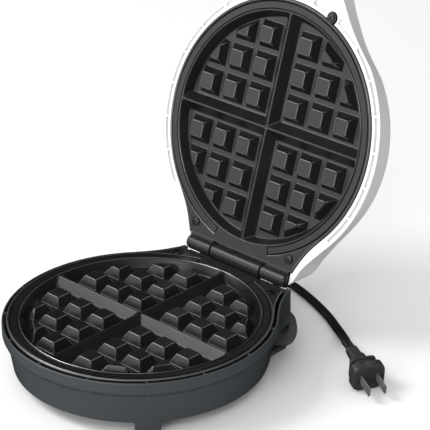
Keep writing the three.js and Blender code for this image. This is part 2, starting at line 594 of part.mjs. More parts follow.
coverScrewPlaces().forEach(([x, y], i) => {
  const fixing = add(base, `cover_screw_${i + 1}`, screw(COVER_SCREW_LENGTH), STEEL);
  fixing.position.set(x, y, COVER.low);
  fixing.rotation.y = Math.PI;
});

const hinge = new THREE.Group();
hinge.position.set(0, HINGE.y, FLANGE_HEIGHT + HINGE.z);
hinge.rotation.x = -OPEN_ANGLE;
maker.add(hinge);
const lid = new THREE.Group();
lid.position.set(0, -HINGE.y, HINGE.lidOffset);
lid.rotation.y = Math.PI;
hinge.add(lid);
add(lid, 'lid_shell', lidShell(), WHITE);
add(lid, 'upper_plate', upperPlate(), NONSTICK);
add(lid, 'upper_element', element(), STEEL);
add(lid, 'upper_reflector', reflector(), ALUMINIUM);
lidScrewPlaces().forEach(([x, y], i) => {
  const fixing = add(lid, `upper_plate_screw_${i + 1}`, screw(SCREW.length), STEEL);
  fixing.position.set(x, y, 0);
});
add(lid, 'power_lens', lens(), AMBER).position.set(LENS.x, LENS.y, 0);
add(lid, 'ready_lens', lens(), GREEN).position.set(-LENS.x, LENS.y, 0);
add(lid, 'lamp_board', block([-LAMP_BOARD.halfX, LAMP_BOARD.halfX],
  [LENS.y - LAMP_BOARD.halfY, LENS.y + LAMP_BOARD.halfY], LAMP_BOARD.z), BOARD);

add(maker, 'lead_sleeve', leadSleeve(), SLEEVING);
add(maker, 'power_cord', cordRun(CORD_IN, CORD.thickness, CORD.width, 7), BLACK);
add(maker, 'cord_coil', coilRing(), BLACK);
add(maker, 'cord_lead', cordRun(CORD_OUT, CORD.width, CORD.thickness, 16), BLACK);

const plug = new THREE.Group();
plug.rotation.order = 'ZXY';
plug.rotation.z = THREE.MathUtils.degToRad(PLUG.heading - 90);
plug.rotation.x = THREE.MathUtils.degToRad(PLUG.tilt);
plug.position.set(PLUG.x, PLUG.y, (PLUG.height / 2) * Math.cos(plug.rotation.x) + GAP);
maker.add(plug);
add(plug, 'plug_body', plugBody(), BLACK);
[['left', -1], ['right', 1]].forEach(([name, side]) =>
  add(plug, `plug_blade_${name}`, blade(), STEEL).position.set((side * BLADE.spacing) / 2, 0, 0));

export default maker;
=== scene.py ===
from math import cos, pi, radians, sin, sqrt, tau

import bmesh
import bpy
from mathutils import Matrix, Vector


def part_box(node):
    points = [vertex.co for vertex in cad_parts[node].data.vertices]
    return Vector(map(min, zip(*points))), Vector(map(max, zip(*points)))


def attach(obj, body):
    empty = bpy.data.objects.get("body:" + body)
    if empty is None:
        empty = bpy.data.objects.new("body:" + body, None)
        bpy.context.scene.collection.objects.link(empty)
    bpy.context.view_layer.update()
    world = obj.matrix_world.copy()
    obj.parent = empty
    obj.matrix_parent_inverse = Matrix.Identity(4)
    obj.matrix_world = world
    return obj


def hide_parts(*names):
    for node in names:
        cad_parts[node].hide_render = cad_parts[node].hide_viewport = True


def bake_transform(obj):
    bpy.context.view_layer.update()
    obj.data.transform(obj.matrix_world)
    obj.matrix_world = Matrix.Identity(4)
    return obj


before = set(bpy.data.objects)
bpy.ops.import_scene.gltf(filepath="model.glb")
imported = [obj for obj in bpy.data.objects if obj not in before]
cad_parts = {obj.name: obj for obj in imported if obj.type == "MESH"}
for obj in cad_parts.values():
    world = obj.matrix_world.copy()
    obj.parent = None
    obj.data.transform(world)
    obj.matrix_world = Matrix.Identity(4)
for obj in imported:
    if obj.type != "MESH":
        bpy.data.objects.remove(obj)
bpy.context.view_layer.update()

# ---- dimensions, in millimetres -----------------------------------------------------------------------
MM = 0.001
PITCH = 25.0  # spacing of the waffle pockets
OPEN_ANGLE = radians(107.8)
PLATE_RADIUS, PLATE_EDGE, PAN_DEPTH = 101.25, 4.0, 10.5
LAND_ANGLE = radians(41.7)  # where the hinge land leaves the round
LAND = [(2.63, 3.19), (2.39, 3.59), (2.18, 4.05)]  # in pitches
CAVITY_TOP, CAVITY_FLOOR, CAVITY_DEPTH = 91.25, 87.5, 7.5
STUD_BASE, STUD_TOP, STUD_CLIP = 10.125, 6.25, 85.75
STUD_ROWS = [0.796, 1.796, 2.796]  # in pitches
RIDGE_BASE, RIDGE_TOP = 7.0, 0.7
GROOVE_STOP = 16.6  # degrees short of the hinge
GROOVE_SPAN = (90 + GROOVE_STOP, 450 - GROOVE_STOP)
HINGE_Y, HINGE_Z, LID_HINGE_Z = 108.85, 3.6, -1.6
BARREL, CENTRE_KNUCKLE, SIDE_KNUCKLE = 6.0, 26.25, (27.25, 53.0)
EAR_X, EAR_Y, EAR_RADIUS = 39.25, -97.0, 4.3
REAR_SCREW = (50.0, 91.75)
BASE_LEVELS = [(-37.5, 0.933), (-14, 0.965), (-12.5, 0.974), (-10, 1), (-1, 1)]  # height, scale
BACK_WALL = 106.8
HEEL = [(76, 64), (76, 82), (66, 95), (58, 107)]
LIP_EDGE = [(2.3, 4.26), (2.5, 4.17), (2.73, 4.02), (3.16, 3.61), (3.47, 3.19), (3.62, 2.84), (3.62, 2.6)]
LIP_ROOT = [(3.33, 2.46), (2.9, 2.4), (2.1, 3.6)]
LIP_POCKET = [(2.76, 3.68), (2.98, 3.42), (3.18, 3.1), (3.3, 2.78), (3.12, 2.84), (2.9, 3.14)]
LID_RADIUS, LID_RIM, LID_WALL, LID_PULL, LID_SLIM, LID_UPRIGHT = 109.6, -8.0, 2.8, 25.0, 0.972, 0.35
LID_LEVELS = [(-42, 0.66), (-41, 0.75), (-38.5, 0.82), (-34, 0.872), (-28, 0.906), (-1, 1)]
LID_ARC = radians(40)  # where the handle's flanks leave the round
LID_FLANK = [(3.03, -3.12), (2.69, -3.45), (2.35, -3.83), (2.02, -4.27), (1.66, -4.8), (1.36, -5.3)]
LID_NOSE = [(1.05, -5.66), (0.5, -5.79), (0, -5.8)]
LID_NECK = [(2.91, 3.35), (2.52, 3.86), (2.256, 4.37), (2.05, 4.52)]

CORD_WIDTH, CORD_THICKNESS = 7.5, 4.0
COIL_CENTRE, COIL_OUTER, COIL_INNER = Vector((-75, 212)), 48.0, 40.0
COIL_LEVELS = (6.7, 2.2)
CORD_IN = [(-27, 129.7, 17.5), (-27, 136, 15.7), (-27, 145, 12.7), (-27, 154, 10.0), (-27, 163, 8.1),
           (-27, 174, 7.0), (-27, 186, 6.7), (-27, 198, 6.7)]
CORD_OUT = [(-44, 172.7, 2.2), (-33, 175.9, 2.2), (-22, 178, 2.2), (-11, 178.3, 2.2), (0.8, 176.9, 2.2),
            (15.2, 172.6, 2.2), (30.9, 166.9, 2.2), (47.3, 159.8, 2.2), (59.6, 153.6, 2.2),
            (71.7, 146.4, 2.3), (81.5, 139.4, 4.4), (91.8, 130, 8.8), (100.8, 121.5, 13.3),
            (108.4, 114.2, 16.4), (115.7, 110.1, 16.8)]
SLEEVE = [(107.2, 26.4), (112, 26.6), (117.2, 28), (122.5, 31.2), (126.2, 35.5), (127.6, 40.6)]
SLEEVE_X = 27.0
PLUG_PLACE, PLUG_HEADING, PLUG_TILT = (150, 91.4), -28.3, -8.0
RELIEF = {"x": -27.0, "start": 106.68, "z": -24.28, "droop": 15.0, "length": 23.5}

# ---- places, from the frame ---------------------------------------------------------------------------
def centre(node):
    low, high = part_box(node)
    return (low + high) / 2


def turn(angle, axis):
    return Matrix.Rotation(angle, 4, axis)


def shift(x, y, z):
    return Matrix.Translation((x, y, z))


AXIS = centre("hinge_pin") / MM
MAKER = Matrix.Scale(MM, 4) @ shift(0, AXIS.y - HINGE_Y, 0)
BASE = Matrix.Scale(MM, 4) @ shift(0, AXIS.y - HINGE_Y, AXIS.z - HINGE_Z)
LID = (Matrix.Scale(MM, 4) @ shift(*AXIS) @ turn(-OPEN_ANGLE, "X") @ shift(0, -HINGE_Y, LID_HINGE_Z)
       @ turn(pi, "Y"))


# ---- camera and light ---------------------------------------------------------------------------------
def add_camera():
    azimuth, elevation, roll = radians(43.735), radians(25.688), radians(-0.377)
    data = bpy.data.cameras.new("camera")
    data.lens = 167.2
    data.clip_end = 20
    camera = bpy.data.objects.new("camera", data)
    camera.matrix_world = (Matrix.Translation((0.9613, -0.9759, 0.7697)) @ turn(azimuth, "Z")
                           @ turn(pi / 2 - elevation, "X") @ turn(roll, "Z"))
    bpy.context.scene.collection.objects.link(camera)
    bpy.context.scene.camera = camera


def softbox(name, place, target, width, height, watts):
    data = bpy.data.lights.new(name, "AREA")
    data.shape = "RECTANGLE"
    data.size, data.size_y = width, height
    data.energy = watts
    light = bpy.data.objects.new(name, data)
    place, target = Vector(place), Vector(target)
    facing = (target - place).to_track_quat("-Z", "Y").to_matrix().to_4x4()
    light.matrix_world = Matrix.Translation(place) @ facing
    bpy.context.scene.collection.objects.link(light)


def add_lights():
    world = bpy.data.worlds.new("studio")
    world.use_nodes = True
    background = world.node_tree.nodes["Background"]
    background.inputs["Color"].default_value = (1, 1, 1, 1)
    background.inputs["Strength"].default_value = 0.7
    world.cycles_visibility.glossy = False
    bpy.context.scene.world = world
    bpy.context.scene.view_settings.view_transform = "Standard"
    softbox("key_light", (-1.2, -1.05, 1.6), (0.05, 0.05, 0), 0.9, 0.9, 25.5)
    softbox("side_light", (-1.3, -1.6, 0.45), (0, 0.05, 0.15), 1.2, 0.8, 8)
    softbox("front_light", (0.35, -1.7, 0.55), (0, 0, 0.05), 0.9, 0.6, 10)
    softbox("edge_light", (0.95, -1.05, 1.35), (0, 0, 0.05), 0.6, 0.5, 5)


# ---- nodes of a material ------------------------------------------------------------------------------
class Finish:
    """A material being put together: a Principled shader fed by procedural nodes."""

    def __init__(self, name):
        self.material = bpy.data.materials.new(name)
        self.material.use_nodes = True
        self.tree = self.material.node_tree
        self.shader = self.tree.nodes["Principled BSDF"]
        self.place = self.node("ShaderNodeTexCoord").outputs["Object"]

    def node(self, kind, **settings):
        made = self.tree.nodes.new(kind)
        for key, value in settings.items():
            if hasattr(made, key):
                setattr(made, key, value)
            else:
                made.inputs[key].default_value = value
        return made

    def link(self, source, target):
        self.tree.links.new(source, target)

    def noise(self, scale, detail=2.0, stretch=(1, 1, 1)):
        mapping = self.node("ShaderNodeMapping")
        mapping.inputs["Scale"].default_value = stretch
        noise = self.node("ShaderNodeTexNoise")
        noise.inputs["Scale"].default_value = scale
        noise.inputs["Detail"].default_value = detail
        self.link(self.place, mapping.inputs["Vector"])
        self.link(mapping.outputs["Vector"], noise.inputs["Vector"])
        return noise.outputs["Fac"]

    def between(self, fac, low, high, start=0.3, end=0.7):
        spread = self.node("ShaderNodeMapRange")
        for key, value in (("From Min", start), ("From Max", end), ("To Min", low), ("To Max", high)):
            spread.inputs[key].default_value = value
        self.link(fac, spread.inputs["Value"])
        return spread.outputs["Result"]

    def ramp(self, fac, stops):
        ramp = self.node("ShaderNodeValToRGB")
        elements = ramp.color_ramp.elements
        while len(elements) < len(stops):
            elements.new(0.5)
        for element, (position, colour) in zip(elements, stops):
            element.position = position
            element.color = (*colour, 1)
        self.link(fac, ramp.inputs["Fac"])
        return ramp.outputs["Color"]

    def mix(self, fac, a, b):
        mix = self.node("ShaderNodeMix", data_type="RGBA")
        for source, socket in ((fac, mix.inputs[0]), (a, mix.inputs[6]), (b, mix.inputs[7])):
            if isinstance(source, bpy.types.NodeSocket):
                self.link(source, socket)
            else:
                socket.default_value = (*source, 1) if isinstance(source, tuple) else source
        return mix.outputs[2]

    def edges(self, low=0.52, high=0.6):
        """1 on sharp outer edges, 0 elsewhere."""
        return self.between(self.node("ShaderNodeNewGeometry").outputs["Pointiness"], 0, 1, low, high)

    def bump(self, heights):
        """heights is a list of (height socket, strength, distance in metres)."""
        normal = None
        for height, strength, distance in heights:
            bump = self.node("ShaderNodeBump")
            bump.inputs["Strength"].default_value = strength
            bump.inputs["Distance"].default_value = distance
            self.link(height, bump.inputs["Height"])
            if normal:
                self.link(normal, bump.inputs["Normal"])
            normal = bump.outputs["Normal"]
        self.link(normal, self.shader.inputs["Normal"])

    def set(self, **values):
        for key, value in values.items():
            socket = self.shader.inputs[key.replace("_", " ")]
            if isinstance(value, bpy.types.NodeSocket):
                self.link(value, socket)
            else:
                socket.default_value = (*value, 1) if isinstance(value, tuple) else value
        return self.material


def shade(colour, factor):
    return tuple(min(1.0, c * factor) for c in colour)


def moulded(name, colour, rough, grain=900, grain_height=0.00004, spread=0.08, edge_lift=1.25):
    """Moulded plastic: a fine spark-eroded grain, faint flow marks and sharp edges made slightly lighter in
    colour.
    """
    f = Finish(name)
    flow = f.noise(14, 3)
    fine = f.noise(grain, 2)
    body = f.ramp(flow, [(0.3, shade(colour, 1 - spread)), (0.7, shade(colour, 1 + spread))])
    # Sharp outer edges made lighter in colour by the edge factor.
    tint = f.mix(f.edges(), body, shade(colour, edge_lift))
    f.bump([(fine, 0.25, grain_height), (flow, 0.04, 0.0006)])
    return f.set(Base_Color=tint, Roughness=f.between(f.noise(60, 3), rough - 0.02, rough + 0.03))


def nonstick():
    """Dark coating over cast aluminium: fine speckle, soft orange-peel, and a painted highlight on the edge
    rounds, which are painted light grey and made metallic so they also reflect the lamps.
    """
    f = Finish("nonstick_coating")
    speckle = f.noise(2600, 2)
    cloud = f.noise(22, 3)
    # Edge rounds that get the painted highlight: light grey colour, plus metallic gloss that reflects the
    # lamps.
    strips = f.node("ShaderNodeAttribute", attribute_name="edge_round")
    edge_lift = f.node("ShaderNodeMath", operation="MULTIPLY")
    f.link(strips.outputs["Fac"], edge_lift.inputs[0])
    f.link(f.edges(0.515, 0.555), edge_lift.inputs[1])
    edge_highlight = edge_lift.outputs[0]
    dark = f.ramp(cloud, [(0.3, (0.009, 0.0092, 0.0095)), (0.7, (0.014, 0.0142, 0.0146))])
    flecked = f.mix(f.between(speckle, 0, 0.3, 0.6, 0.75), dark, (0.03, 0.03, 0.031))
    # Painted highlight: the edge rounds painted light grey.
    tint = f.mix(edge_highlight, flecked, (0.4, 0.4, 0.4))
    f.bump([(speckle, 0.2, 0.00003), (f.noise(260, 2), 0.1, 0.0001)])
    metallic = f.between(edge_highlight, 0.05, 0.9, 0, 1)
    return f.set(Base_Color=tint, Roughness=f.between(cloud, 0.32, 0.4), Metallic=metallic)


def metal(name, colour, rough, stretch=(1, 1, 14), scale=500, blend=1.0):
    """Drawn or plated metal with fine tool marks."""
    f = Finish(name)
    marks = f.noise(scale, 3, stretch)
    stain = f.noise(40, 3)
    tint = f.ramp(stain, [(0.3, shade(colour, 0.86)), (0.7, colour)])
    f.bump([(marks, 0.18, 0.00003)])
    return f.set(Base_Color=tint, Metallic=blend, Roughness=f.between(marks, rough, rough + 0.14))


def rubber(name, colour, rough=0.75):
    f = Finish(name)
    dust = f.noise(35, 4)
    tint = f.ramp(dust, [(0.35, colour), (0.75, shade(colour, 1.7))])
    f.bump([(f.noise(1400, 2), 0.35, 0.00005)])
    return f.set(Base_Color=tint, Roughness=f.between(dust, rough, rough + 0.12))


def braid(name, colour):
    """Woven glass sleeving: two crossing families of strands."""
    f = Finish(name)
    waves = []
    for tilt in (1, -1):
        mapping = f.node("ShaderNodeMapping")
        mapping.inputs["Rotation"].default_value = (0, tilt * pi / 4, pi / 6)
        wave = f.node("ShaderNodeTexWave")
        wave.inputs["Scale"].default_value = 420
        f.link(f.place, mapping.inputs["Vector"])
        f.link(mapping.outputs["Vector"], wave.inputs["Vector"])
        waves.append(wave.outputs["Fac"])
    both = f.node("ShaderNodeMath", operation="MAXIMUM")
    f.link(waves[0], both.inputs[0])
    f.link(waves[1], both.inputs[1])
    tint = f.ramp(both.outputs[0], [(0.2, shade(colour, 0.5)), (0.9, shade(colour, 1.6))])
    f.bump([(both.outputs[0], 0.5, 0.0002)])
    return f.set(Base_Color=tint, Roughness=f.between(both.outputs[0], 0.75, 0.92))


def lens_finish(name, colour):
    f = Finish(name)
    tint = f.ramp(f.noise(300, 2), [(0.3, shade(colour, 0.75)), (0.7, colour)])
    f.bump([(f.noise(900, 1), 0.08, 0.00003)])
    return f.set(Base_Color=tint, Roughness=f.between(f.noise(80), 0.12, 0.2))


def circuit_board():
    f = Finish("circuit_board")
    tracks = f.node("ShaderNodeTexBrick")
    tracks.inputs["Scale"].default_value = 260
    f.link(f.place, tracks.inputs["Vector"])
    tint = f.mix(tracks.outputs["Fac"], (0.02, 0.12, 0.045), (0.05, 0.22, 0.09))
    f.bump([(tracks.outputs["Fac"], 0.3, 0.0001)])
    return f.set(Base_Color=tint, Roughness=f.between(f.noise(90), 0.4, 0.6))


FINISHES = {
    "slate_plastic": moulded("slate_plastic", (0.048, 0.054, 0.058), 0.42, grain=1500),
    "white_plastic": moulded("white_plastic", (0.75, 0.75, 0.745), 0.3, grain_height=0.00001, spread=0.015,
                             edge_lift=1.0),
    "nonstick": nonstick(),
    "black_plastic": moulded("black_plastic", (0.018, 0.018, 0.019), 0.45),
    "plug_plastic": moulded("plug_plastic", (0.032, 0.032, 0.033), 0.42, grain=1300, edge_lift=1.6),
    "cord_jacket": moulded("cord_jacket", (0.017, 0.017, 0.018), 0.38, grain=1600, edge_lift=1.3),
    "rubber": rubber("rubber", (0.018, 0.018, 0.019)),
    "steel": metal("steel", (0.66, 0.66, 0.67), 0.28, blend=0.85),
    "screw_steel": metal("screw_steel", (0.075, 0.075, 0.078), 0.34, scale=900),
    "bright_aluminium": metal("bright_aluminium", (0.78, 0.79, 0.8), 0.28),
    "ceramic": rubber("ceramic", (0.62, 0.59, 0.52), 0.5),
    "circuit_board": circuit_board(),
    "sleeving": braid("sleeving", (0.05, 0.05, 0.052)),
    "amber_lens": lens_finish("amber_lens", (0.85, 0.32, 0.03)),
    "green_lens": lens_finish("green_lens", (0.06, 0.5, 0.14)),
}


# ---- meshes -------------------------------------------------------------------------------------------
def mesh_object(name, vertices, faces):
    mesh = bpy.data.meshes.new(name)
    mesh.from_pydata([tuple(v) for v in vertices], [], faces)
    tidy = bmesh.new()
    tidy.from_mesh(mesh)
    bmesh.ops.recalc_face_normals(tidy, faces=tidy.faces)
    tidy.to_mesh(mesh)
    tidy.free()
    made = bpy.data.objects.new(name, mesh)
    bpy.context.scene.collection.objects.link(made)
    return made


def skin(rings, name="skin", closed=False):
    """A closed solid through rings of equally many points. closed joins the last to the first."""
    count = len(rings[0])
    vertices = [Vector(p) for ring in rings for p in ring]
    steps = len(rings) if closed else len(rings) - 1
    faces = []
    for k in range(steps):
        low, high = k * count, ((k + 1) % len(rings)) * count
        for i in range(count):
            j = (i + 1) % count
            faces.append((low + i, low + j, high + j, high + i))
    if not closed:
        faces.append(tuple(reversed(range(count))))
        faces.append(tuple(range(steps * count, (steps + 1) * count)))
    return mesh_object(name, vertices, faces)


def upright_at(y):
    """How far a wall keeps from leaning: 0 up to the plate's rear third, 1 by the hinge."""
    t = min(max((y - 60) / 40, 0), 1)
    return t * t * (3 - 2 * t)


def lofted(outline, levels, pull=0.0, name="loft", upright=0.0, crown=()):
    """An outline through (height, scale) levels, scaled about (0, pull), with a crown of
    (height, share) rings."""
    rings = []
    for z, lean in levels:
        scales = [lean + (1 - lean) * upright * upright_at(p[1]) for p in outline]
        rings.append([(p[0] * s, pull + (p[1] - pull) * s, z) for p, s in zip(outline, scales)])
    top = [[(x * share, pull + (y - pull) * share, z) for x, y, _ in rings[0]] for z, share in crown]
    return skin([*top, *rings], name)


def prism(outline, low, high, name="prism"):
    return lofted(outline, [(low, 1), (high, 1)], name=name)


def circle(radius, sides=24, x=0.0, y=0.0):
    return [(x + radius * cos(tau * i / sides), y + radius * sin(tau * i / sides)) for i in range(sides)]


def spun(profile, sides=32, name="spun"):
    """A profile of (radius, height) pairs turned about +Z, closed flat at both ends."""
    return skin([[(x, y, z) for x, y in circle(r, sides)] for r, z in profile], name)


def hoop(section, start=0.0, end=360.0, sides=180, name="hoop"):
    """A closed (radius, height) section swept round +Z from start to end, in degrees."""
    whole = end - start >= 360
    steps = max(2, round(sides * (end - start) / 360))
    angles = [radians(start + (end - start) * i / steps) for i in range(steps if whole else steps + 1)]
    return skin([[(r * cos(a), r * sin(a), z) for r, z in section] for a in angles], name, closed=whole)


def block(x, y, z, name="block"):
    return prism([(x[0], y[0]), (x[1], y[0]), (x[1], y[1]), (x[0], y[1])], z[0], z[1], name)


def spline(points, steps):
    """Uniform Catmull-Rom curve through points."""
    points = [Vector(p) for p in points]
    last = len(points) - 1
    curve = []
    for i in range(last):
        a, b, c, d = points[max(i - 1, 0)], points[i], points[i + 1], points[min(i + 2, last)]
        v, w = (c - a) / 2, (d - b) / 2
        for k in range(steps):
            t = k / steps
            curve.append((2 * b - 2 * c + v + w) * t ** 3 + (-3 * b + 3 * c - 2 * v - w) * t ** 2 + v * t + b)
    return curve + [points[last]]


def joined(objects):
    """Several separate solids as one object."""
    whole = bmesh.new()
    for item in objects:
        item.data.transform(item.matrix_world)
        whole.from_mesh(item.data)
    mesh = bpy.data.meshes.new("joined")
    whole.to_mesh(mesh)
    whole.free()
    for item in objects:
        bpy.data.objects.remove(item)
    made = bpy.data.objects.new("joined", mesh)
    bpy.context.scene.collection.objects.link(made)
    return made


def applied(item):
    bpy.context.view_layer.update()
    mesh = bpy.data.meshes.new_from_object(item.evaluated_get(bpy.context.evaluated_depsgraph_get()))
    item.modifiers.clear()
    item.data = mesh
    return item


def boolean(item, tool, operation):
    step = item.modifiers.new("boolean", "BOOLEAN")
    step.operation = operation
    step.solver = "MANIFOLD"
    step.object = tool
    applied(item)
    bpy.data.objects.remove(tool)
    return item


def cut(item, *tools):
    return boolean(item, joined(tools), "DIFFERENCE")


def add(item, *others):
    for other in others:
        boolean(item, other, "UNION")
    return item


def rounded(item, width, segments=3, angle=30.0):
    bevel = item.modifiers.new("bevel", "BEVEL")
    bevel.width = width
    bevel.segments = segments
    bevel.angle_limit = radians(angle)
    bevel.use_clamp_overlap = True
    return applied(item)


def moved(item, matrix):
    item.data.transform(matrix)
    return item


def mirrored(make):
    """A piece made for the right, and its mirror image."""
    left = make()
    left.data.transform(Matrix.Scale(-1, 4, (1, 0, 0)))
    left.data.flip_normals()
    return [make(), left]


def mark_edge_rounds(item, width=0.4):
    """Marks the long narrow faces that round the edges off, where the coating gets a painted highlight."""
    mesh = item.data
    marks = mesh.attributes.new("edge_round", "FLOAT", "FACE")
    for face in mesh.polygons:
        points = [mesh.vertices[i].co for i in face.vertices]
        longest = max((b - a).length for a, b in zip(points, [*points[1:], points[0]]))
        marks.data[face.index].value = 1.0 if face.area < width * longest and longest > 3 * width else 0.0
    return item


def smooth(item, angle=32.0):
    mesh = item.data
    mesh.polygons.foreach_set("use_smooth", [True] * len(mesh.polygons))
    mesh.set_sharp_from_angle(angle=radians(angle))
    weighted = item.modifiers.new("weighted_normals", "WEIGHTED_NORMAL")
    weighted.keep_sharp = True
    return item


def piece(item, name, place, body, slot, *nodes, angle=32.0):
    """Puts a finished piece in the row frame, on a body, in place of CAD nodes."""
    item.name = name
    item.data.name = name
    item.data.transform(place)
    if place.determinant() < 0:
        item.data.flip_normals()
    item.data.materials.clear()
    item.data.materials.append(FINISHES[slot])
    smooth(item, angle)
    if body:
        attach(item, body)
    if nodes:
        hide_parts(*nodes)
    return item


# ---- outlines -----------------------------------------------------------------------------------------
def plate_outline(grow=0.0, steps=120):
    """Plate's edge, grown outwards: a circle with a flat-backed land for the hinge."""
    radius = PLATE_RADIUS + grow
    land = [(x * PITCH + 0.88 * grow, y * PITCH + 0.72 * grow) for x, y in LAND]
    right = spline([(radius * cos(LAND_ANGLE), radius * sin(LAND_ANGLE)), *land], 6)
    left = [Vector((-p.x, p.y)) for p in reversed(right)]
    sweep = pi + 2 * LAND_ANGLE
    arc = [pi - LAND_ANGLE + sweep * i / steps for i in range(1, steps)]
    return [*right, *left, *[Vector((radius * cos(a), radius * sin(a))) for a in arc]]


def lid_outline():
    """Lid's edge, from the hinge round to the handle's nose and back up the left side."""
    def on_arc(angle):
        return Vector((LID_RADIUS * cos(angle), LID_RADIUS * sin(angle)))

    def pitches(points):
        return [Vector((x * PITCH, y * PITCH)) for x, y in points]

    neck = spline([*reversed(pitches(LID_NECK)), on_arc(LAND_ANGLE)], 6)
    arc = [on_arc(LAND_ANGLE - (LAND_ANGLE + LID_ARC) * i / 36) for i in range(1, 37)]
    flank = spline([on_arc(-LID_ARC), *pitches(LID_FLANK), *pitches(LID_NOSE)], 5)
    right = [*neck, *arc, *flank[1:]]
    left = [Vector((-p.x, p.y)) for p in reversed(right[:-1])]
    return [*right, *left]


# ---- cooking plates -----------------------------------------------------------------------------------
def corners(limits, radius):
    """Corners of the convex shape inside a circle and a box (x0, x1, y0, y1)."""
    x0, x1, y0, y1 = limits
    points = [Vector((x, y)) for x in (x0, x1) for y in (y0, y1) if x * x + y * y <= radius * radius]
    for x in (x0, x1):
        if abs(x) < radius:
            reach = sqrt(radius * radius - x * x)
            points += [Vector((x, y)) for y in (reach, -reach) if y0 <= y <= y1]
    for y in (y0, y1):
        if abs(y) < radius:
            reach = sqrt(radius * radius - y * y)
            points += [Vector((x, y)) for x in (reach, -reach) if x0 <= x <= x1]
    return points


def rounded_shape(limits, radius, corner, directions):
    """Outline of the shape inside a box and a circle, its corners rounded, one point for each direction."""
    x0, x1, y0, y1 = limits
    inner = (x0 + corner, x1 - corner, y0 + corner, y1 - corner)
    places = corners(inner, radius - corner)
    outline = []
    for angle in directions:
        n = Vector((cos(angle), sin(angle)))
        on_arc = n * (radius - corner)
        if inner[0] <= on_arc.x <= inner[1] and inner[2] <= on_arc.y <= inner[3]:
            support = on_arc
        else:
            support = max(places, key=n.dot)
        outline.append(support + n * corner)
    return outline


def fillet(start, end, tip, foot):
    """(height, inset) levels of a sloping side from the foot's hollow round to the tip's edge round."""
    slope = (end[1] - start[1]) / (end[0] - start[0])

    def side(z):
        return start[1] + slope * (z - start[0])

    levels = [(start[0] + foot * (1 - cos(t)), side(start[0] + foot * (1 - cos(t))) - foot * (1 - sin(t)))
              for t in (0, 0.5, 1.0)]
    levels += [(start[0] + foot, side(start[0] + foot)), (end[0] - tip, side(end[0] - tip))]
    levels += [(end[0] - tip + tip * sin(t), side(end[0] - tip + tip * sin(t)) + tip * (1 - cos(t)) * 0.8)
               for t in (0.5, 1.0, pi / 2)]
    return levels


def stud(column, row):
    """Four-sided stud, cut off round by the wall where it stands near it."""
    x, y = column * PITCH, row * PITCH
    directions = [tau * (i + 0.5) / 24 for i in range(24)]
    levels = fillet((-CAVITY_DEPTH, 0.0), (0.0, STUD_BASE - STUD_TOP), 0.45, 0.8)
    levels = [(levels[0][0] - 0.6, levels[0][1]), *levels]
    rings = []
    for z, inset in levels:
        half = STUD_BASE - inset
        shape = rounded_shape((x - half, x + half, y - half, y + half), STUD_CLIP - inset, 0.9, directions)
        rings.append([(p.x, p.y, z) for p in shape])
    return skin(rings, "stud")


def pocket(turn_count):
    """Quarter of the cavity, between two ridges and the round wall, as the solid that is cut away."""
    directions = [radians(a) for a in [*range(1, 90, 2), *range(95, 360, 10)]]
    side_slope = (RIDGE_BASE - RIDGE_TOP) / CAVITY_DEPTH
    wall_slope = (CAVITY_TOP - CAVITY_FLOOR) / CAVITY_DEPTH
    foot, tip = 1.0, 0.55
    levels = [(-CAVITY_DEPTH + foot * (1 - cos(t)), foot * (1 - sin(t)), 0.0) for t in (0, 0.5, 1.0, pi / 2)]
    levels += [(-tip * (1 - sin(t)), 0.0, tip * (1 - cos(t)) * 0.8) for t in (0, 0.5, 1.0, pi / 2)]
    rings = []
    for z, hollow, flare in [*levels, (1.0, 0.0, tip * 0.8)]:
        height = min(z, 0) + CAVITY_DEPTH
        near = RIDGE_BASE - side_slope * height + hollow - flare * 0.5
        radius = CAVITY_FLOOR + wall_slope * height - hollow + flare
        shape = rounded_shape((near, 200, near, 200), radius, 1.6 + 0.1 * height, directions)
        rings.append([(p.x, p.y, z) for p in shape])
    return moved(skin(rings, "pocket"), turn(turn_count * pi / 2, "Z"))


def knuckle(start, end, z, rounds):
    """Hinge barrel along X with its own edge rounds, and the web that joins it to the plate."""
    profile = [(BARREL - rounds[0], 0.0), (BARREL - rounds[0] * 0.3, rounds[0] * 0.3), (BARREL, rounds[0])]
    length = end - start
    profile += [(BARREL, length - rounds[1]), (BARREL - rounds[1] * 0.3, length - rounds[1] * 0.3),
                (BARREL - rounds[1], length)]
    barrel = spun(profile, 40, "barrel")
    moved(barrel, shift(start, HINGE_Y, z) @ turn(pi / 2, "Y"))
    web = block((start + 1.2, end - 1.2), (PLATE_RADIUS - 2, HINGE_Y - 2), (-PLATE_EDGE + 0.2, -0.6))
    return [barrel, rounded(web, 0.5, 2)]


def groove(radius, width, depth):
    """Narrow round-bottomed groove that stops short of the hinge."""
    half = width / 2
    section = [(radius - half, 0.5), (radius - half, -depth * 0.6), (radius, -depth),
               (radius + half, -depth * 0.6), (radius + half, 0.5)]
    return hoop(section, *GROOVE_SPAN, 180)


def groove_ends(inner, outer, width, depth):
    """Short radial grooves that close the ends of two round ones."""
    half = width / 2
    return [moved(block((-half, half), (inner - half, outer + half), (-depth, 0.5)), turn(radians(a), "Z"))
            for a in (-GROOVE_STOP, GROOVE_STOP)]


def bead(radius, width, height, whole):
    half = width / 2
    section = [(radius - half, -0.3), (radius + half, -0.3), (radius + half, height * 0.4),
               (radius + half * 0.5, height), (radius - half * 0.5, height), (radius - half, height * 0.4)]
    return hoop(section, 0, 360, 180) if whole else hoop(section, *GROOVE_SPAN, 180)


